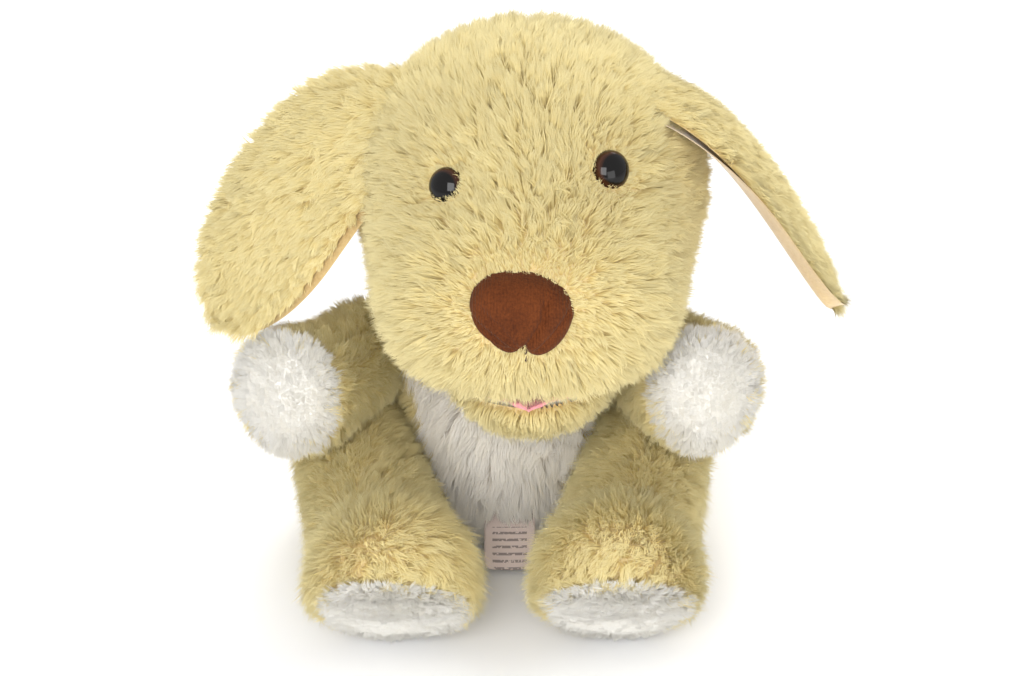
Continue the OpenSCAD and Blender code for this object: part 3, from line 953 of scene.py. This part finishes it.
def build_body():
    whole = skin_of(body_field, np.array([0, 24 * MM, 34 * MM]), 6)

    def in_sleeve(c):
        return (c[:, 1] > sleeve[1] - 5 * MM) & (stadium_gap(c, hem_spread, hem_r - 4 * MM) < 0)

    def seat(c):
        return c[:, 2] < 2.2 * MM

    def flow(p):
        out = unit(p - np.array([0, 20 * MM, 60 * MM]))
        return out * 0.6 - 0.9 * UP + 0.4 * swirl(p, 60, 0.4, (2, 0, 1))

    def length(p):
        return BODY_PILE * (0.45 + 0.55 * smoothstep(p[:, 2], 2 * MM, 22 * MM))

    plush("body_plush", whole.part(lambda c: ~on_belly(c) & ~seat(c) & ~in_sleeve(c)), "body", "body_fur",
          flow, length, per_mm2=2.6)
    plush("belly_plush", whole.part(on_belly), "body", "belly_panel",
          lambda p: np.array([0.1, -0.4, -1.0]) + 0.3 * swirl(p, 80), even(BELLY_PILE), per_mm2=4.5,
          fur="white_fur", backing="white_backing", tuft=6 * MM, lean=55, clump=0.6)
    plush("seat_plush", whole.part(lambda c: seat(c) & ~in_sleeve(c)), "body", "seat_panel",
          lambda p: unit(p - belly), even(SEAT_PILE), per_mm2=1.2, lean=80)


def build_hem():
    """The turned and stitched edge of the sleeve's mouth."""
    around, ring = 220, 12
    thick = 2.3 * MM
    points = []
    for i in range(around):
        centre, out = stadium_point(i / around, hem_spread, hem_r - thick)
        for j in range(ring):
            a = 2 * math.pi * j / ring
            ripple = 1 + 0.1 * math.sin(i * 2 * math.pi / 4)
            points.append(sleeve + centre + out * thick * ripple * math.cos(a)
                          + np.array([0, 1, 0]) * 2.4 * MM * math.sin(a))
    faces = ring_faces(around, ring, closed=True)
    one_material_piece("sleeve_hem", points, faces, "hem_tape", "body", "hem_band")


def stadium_point(share, half_spread, radius):
    """A point on an oval with straight sides, in X and Z, and the way out of it."""
    straight, bend = 2 * half_spread, math.pi * radius
    d = share * 2 * (straight + bend)
    half = 1
    if d >= straight + bend:
        d -= straight + bend
        half = -1
    if d < straight:
        return half * np.array([d - half_spread, 0, radius]), half * UP
    a = math.pi / 2 - (d - straight) / radius
    out = half * np.array([math.cos(a), 0, math.sin(a)])
    return half * np.array([half_spread, 0, 0]) + out * radius, out


def build_glove():
    """The glove cloth inside: from the sleeve's mouth forwards and then up towards the head."""
    bend_at = 0.4
    start_y, turn_y = sleeve[1], neck[1] + 8 * MM
    rise = chest_top - sleeve[2] - 3 * MM

    def place(t, s):
        if t < bend_at:
            centre = np.array([0, start_y + (turn_y - start_y) * t / bend_at, sleeve[2]])
            tilt = 0.0
        else:
            u = (t - bend_at) / (1 - bend_at)
            centre = np.array([0, turn_y - 8 * MM * u, sleeve[2] + rise * u])
            tilt = math.pi / 2 * min(1, u * 2.2)
        edge, out = stadium_point(s % 1, hem_spread, (hem_r - 5.5 * MM) * (1 - 0.1 * t))
        edge = edge + out * 0.8 * MM * math.sin(14 * math.pi * s + 3 * t) * min(1, 3 * t)
        return centre + np.array([edge[0], -edge[2] * math.sin(tilt), edge[2] * math.cos(tilt)])

    closed_sheet("glove_sheet", place, 44, 96, -0.8 * MM, "glove_cloth", "body", "glove_lining")


# ---- Neck and tail ----


def build_neck():
    centre = middle("neck_gusset")
    flatten = np.array([1, 1, 0.6])
    start, end = (centre - trunk_spread) * flatten, (centre + trunk_spread) * flatten

    def field(p):
        tube = rod(p * flatten, start, end, 24 * MM, 24 * MM)
        return trim(tube, np.abs(p[:, 2] - centre[2]) - 13 * MM, 6 * MM)

    skin = skin_of(field, centre, 5)
    plush("neck_plush", skin.part(lambda c: np.abs(c[:, 2] - centre[2]) < 12 * MM), "neck", "neck_gusset",
          lambda p: 0.5 * unit(p - centre) - 0.8 * UP, even(NECK_PILE), per_mm2=2.6)


def build_tail():
    root = joint_centre("tail_wag")
    tip = np.array([0, high("tail_fur")[1] - 9 * MM, high("tail_fur")[2] - 9 * MM])

    def field(p):
        return rod(p, root, tip, 9 * MM, 7.5 * MM)

    skin = skin_of(field, (root + tip) / 2, 5)
    filling("tail_filling", field, (root + tip) / 2, "tail", "tail_stuffing")
    plush("tail_plush", skin, "tail", "tail_fur", lambda p: np.tile(unit(tip - root), (len(p), 1)),
          even(TAIL_PILE), per_mm2=3.0, lean=60)


# ---- Arms and legs ----


def around_axis(p, centre, axis):
    """The way straight out from an axis at each point."""
    return unit(off_axis(p, centre, axis))


def off_axis(p, centre, axis):
    """How far each point is from an axis, as a vector straight out from it."""
    out = p - centre
    return out - (out @ axis)[:, None] * axis


def off_face(centre, axis, depth, radius):
    """The part of a limb that a pad or sole at its end doesn't cover."""
    def keep(c):
        across = np.linalg.norm(off_axis(c, centre, axis), axis=1)
        return ~(((c - centre) @ axis > -depth) & (across < radius))

    return keep


def domed_disc(name, node, centre, normal, half_w, half_h, dome, body):
    """A smooth short-pile face, crowned in the middle and drawn down to its seam at the edge."""
    level = unit(np.cross(normal, UP))
    up = np.cross(level, normal)
    rings, around = 22, 96
    rng = seeded(name)
    phase = rng.random(4) * 6
    points = [centre + normal * dome]
    for i in range(1, rings + 1):
        r = i / rings
        for j in range(around):
            a = 2 * math.pi * j / around
            edge = 1 + 0.018 * math.sin(3 * a + phase[0]) + 0.012 * math.sin(5 * a + phase[1])
            pucker = 0.35 * MM * math.sin(22 * a + phase[2]) * smoothstep(np.array([r]), 0.75, 1.0)[0]
            height = dome * math.sqrt(max(0, 1 - r ** 2.6)) - 1.5 * MM * r ** 6 + pucker
            sideways, upwards = half_w * r * edge * math.cos(a), half_h * r * edge * math.sin(a)
            points.append(centre + level * sideways + up * upwards + normal * height)
    faces = [[0, 1 + j, 1 + (j + 1) % around] for j in range(around)]
    for i in range(rings - 1):
        for j in range(around):
            a, b = 1 + i * around + j, 1 + i * around + (j + 1) % around
            faces += [[a, a + around, b + around], [a, b + around, b]]
    skin = Skin(np.array(points), np.array(faces))
    if (skin.normals @ normal).mean() < 0:
        skin = Skin(skin.points, skin.faces[:, ::-1])
    velour_pad(name, node, skin, body, centre, normal, half_w)


def velour_pad(name, node, skin, body, centre, normal, half):
    """A pad of short nap, smooth in the middle and fluffy where it meets the long pile round it."""
    hollows = swirl(skin.points, 230).sum(axis=1) + np.sin(skin.points * 410 + 1).sum(axis=1)
    skin = Skin(skin.points + skin.normals * (hollows * 0.14 * MM)[:, None], skin.faces)

    def length(p):
        out = np.linalg.norm(p - centre, axis=1) / half
        return 1.2 * MM + 4.5 * MM * smoothstep(out, 0.7, 1.0)

    plush(name, skin, body, node, lambda p: around_axis(p, centre, normal), length, per_mm2=11,
          fur="white_nap", backing="white_velour", tuft=2.4 * MM, lean=42, width=0.32 * MM, clump=0.15)


def limb_flow(p, end, axis, lie):
    """Pile that lies one way along a limb and spreads out round the pad at its end."""
    front = smoothstep((p - end) @ axis, -9 * MM, -2 * MM)[:, None]
    return lie * (1 - front) + 1.2 * front * around_axis(p, end, axis)


def stuffed_limb(body, field, inside, keep, flow, length):
    """The filling and the furred sleeve of an arm or a leg, without its end."""
    filling(f"{body}_filling", field, inside, body, f"{body}_stuffing")
    plush(f"{body}_plush", skin_of(field, inside, 6).part(keep), body, f"{body}_fur", flow, length,
          per_mm2=3.2)


def build_arm(side):
    name = SIDES[side]
    body = f"arm_{name}"
    shoulder = joint_centre(f"{body}_swing")
    pad = middle(f"{body}_pad")
    axis = unit(pad - shoulder)
    reach = np.linalg.norm(pad - shoulder)
    shoulder_r, paw_r = 17 * MM, 23 * MM

    def field(p):
        share = np.clip((p - shoulder) @ axis / reach, 0, 1)
        sagged = p + UP * 3 * MM * np.sin(np.pi * share)[:, None]
        shape = rod(sagged, shoulder, pad, shoulder_r, paw_r)
        return trim(shape, (p - pad) @ axis + 1 * MM, 7 * MM)

    def flow(p):
        return limb_flow(p, pad, axis, 0.9 * axis - 0.25 * UP) + 0.4 * swirl(p, 65, side)

    def length(p):
        return ARM_PILE * (0.75 + 0.25 * smoothstep((pad - p) @ axis, 0, 15 * MM))

    inside = shoulder + axis * reach * 0.55
    stuffed_limb(body, field, inside, off_face(pad, axis, 3 * MM, 17 * MM), flow, length)
    domed_disc(f"{body}_pad_velour", f"{body}_pad", pad - axis * 0.5 * MM, axis, 22.5 * MM, 24.5 * MM,
               5.5 * MM, body)


def build_leg(side):
    name = SIDES[side]
    body = f"leg_{name}"
    hip = joint_centre(f"{body}_spread")
    points = node_points(f"{body}_sole")
    sole = points.mean(axis=0)
    _, _, axes = np.linalg.svd(points - sole, full_matrices=False)
    normal = axes[2] * (-1 if axes[2][1] > 0 else 1)
    foot_r = half_size(f"{body}_sole")[0] + 1 * MM
    ankle = sole - normal * 12 * MM
    toe = unit(np.array([sole[0] - hip[0], sole[1] - hip[1], 0]))
    bottom = low(f"{body}_sole")[2]
    hip_r, ankle_r = 21.5 * MM, 24 * MM

    def field(p):
        shape = melt(rod(p, hip, ankle, hip_r, ankle_r), rod(p, ankle, sole, foot_r, foot_r), 10 * MM)
        shape = trim(shape, (p - sole) @ normal + 1.5 * MM, 9 * MM)
        return trim(shape, bottom + 0.6 * MM - p[:, 2], 4 * MM)

    def flow(p):
        lie = 0.7 * toe + np.array([0, -0.1, -0.35])
        return limb_flow(p, sole, normal, lie) + 0.5 * swirl(p, 60, 2 * side, (2, 0, 1))

    def length(p):
        floor = 0.12 + 0.88 * smoothstep(p[:, 2], 2 * MM, 16 * MM)
        return LEG_PILE * floor * (0.75 + 0.25 * smoothstep((sole - p) @ normal, 0, 12 * MM))

    inside = hip * 0.4 + ankle * 0.6
    stuffed_limb(body, field, inside, off_face(sole, normal, 3.5 * MM, foot_r - 5 * MM), flow, length)
    domed_disc(f"{body}_sole_velour", f"{body}_sole", sole - normal * 1.5 * MM, normal, foot_r - 1 * MM,
               foot_r + 2 * MM, 5 * MM, body)


# ---- Label ----


def build_label():
    """A satin label sewn in under the belly: it hangs, curls a little and rests its end on the floor."""
    points = node_points("care_label")
    lo, hi = points.min(axis=0), points.max(axis=0)
    half_w = (hi[0] - lo[0]) / 2
    top = np.array([(lo[0] + hi[0]) / 2, hi[1], hi[2]])
    bottom = np.array([top[0], lo[1], lo[2]])
    rows, columns = 30, 20
    corner = 0.16

    def place(t, share):
        s = 2 * share - 1
        over = max(0, t - (1 - corner)) / corner
        width = half_w * (1 - 0.22 * (1 - math.sqrt(max(0, 1 - over ** 2))))
        curl = 1.2 * MM * math.sin(math.pi * t) + 0.8 * MM * s ** 2 * t
        return top + (bottom - top) * t + np.array([s * width, -curl * 0.6, curl])

    piece = closed_sheet("label_sheet", place, rows, columns, 0.5 * MM, "label_satin", "label",
                         "care_label")
    down, across = grid_of(rows, columns, lambda t, s: (t, s)).T
    set_attribute(piece, "label_across", np.tile(across, 2))
    set_attribute(piece, "label_down", np.tile(down, 2))


# ---- Everything ----


def finish_cad_nodes():
    """The hidden CAD nodes that stay get their own material too."""
    slots = {part["node"]: part["material_slot"] for part in frame["record"]["subparts"]}
    for name, node in frame["nodes"].items():
        node.data.materials.clear()
        node.data.materials.append(MATERIALS[slots[name]])


def build_studio():
    """A pale floor just under the puppet, a bright soft surround and three soft lights."""
    bpy.ops.mesh.primitive_plane_add(size=6, location=(0, 0, -0.5 * MM))
    floor = bpy.context.object
    floor.name = "floor"
    m = Nodes("floor")
    m.set(Base_Color=(0.93, 0.93, 0.93, 1), Roughness=0.9, Specular_IOR_Level=0.1)
    floor.data.materials.append(m.material)

    world = bpy.data.worlds.new("studio")
    world.use_nodes = True
    background = world.node_tree.nodes["Background"]
    background.inputs["Color"].default_value = (1, 1, 1, 1)
    background.inputs["Strength"].default_value = 0.85
    bpy.context.scene.world = world

    for name, place, size, power in (("key", (-0.15, -1.05, 0.6), 0.7, 10),
                                     ("fill", (0.6, -1.0, 0.22), 0.7, 4),
                                     ("back", (0.25, 1.0, 0.75), 0.8, 9)):
        light = bpy.data.lights.new(name, "AREA")
        light.energy = power
        light.size = size
        lamp = bpy.data.objects.new(name, light)
        lamp.location = place
        lamp.rotation_euler = (Vector((0, 0, 0.1)) - Vector(place)).to_track_quat("-Z", "Y").to_euler()
        bpy.context.scene.collection.objects.link(lamp)


def build_camera():
    azimuth, elevation, roll = math.radians(3.15), math.radians(29), math.radians(2.2)
    distance = 0.9
    target = Vector((0.0051, 0, 0.0901))
    out = Vector((math.sin(azimuth) * math.cos(elevation), -math.cos(azimuth) * math.cos(elevation),
                  math.sin(elevation)))
    data = bpy.data.cameras.new("camera")
    data.lens = 73.4
    data.clip_start = 0.01
    camera = bpy.data.objects.new("camera", data)
    turn = (-out).to_track_quat("-Z", "Y").to_matrix() @ Matrix.Rotation(-roll, 3, "Z")
    camera.matrix_world = Matrix.Translation(target + out * distance) @ turn.to_4x4()
    bpy.context.scene.collection.objects.link(camera)
    bpy.context.scene.camera = camera


finish_cad_nodes()
build_head()
build_nose()
build_nose_stitch()
build_jaw()
build_mouth()
build_tongue()
build_body()
build_hem()
build_glove()
build_neck()
build_tail()
for body_side in SIDES:
    build_eye(body_side)
    build_ear(body_side)
    build_arm(body_side)
    build_leg(body_side)
build_label()
build_studio()
build_camera()
bpy.context.scene.view_settings.view_transform = "Standard"
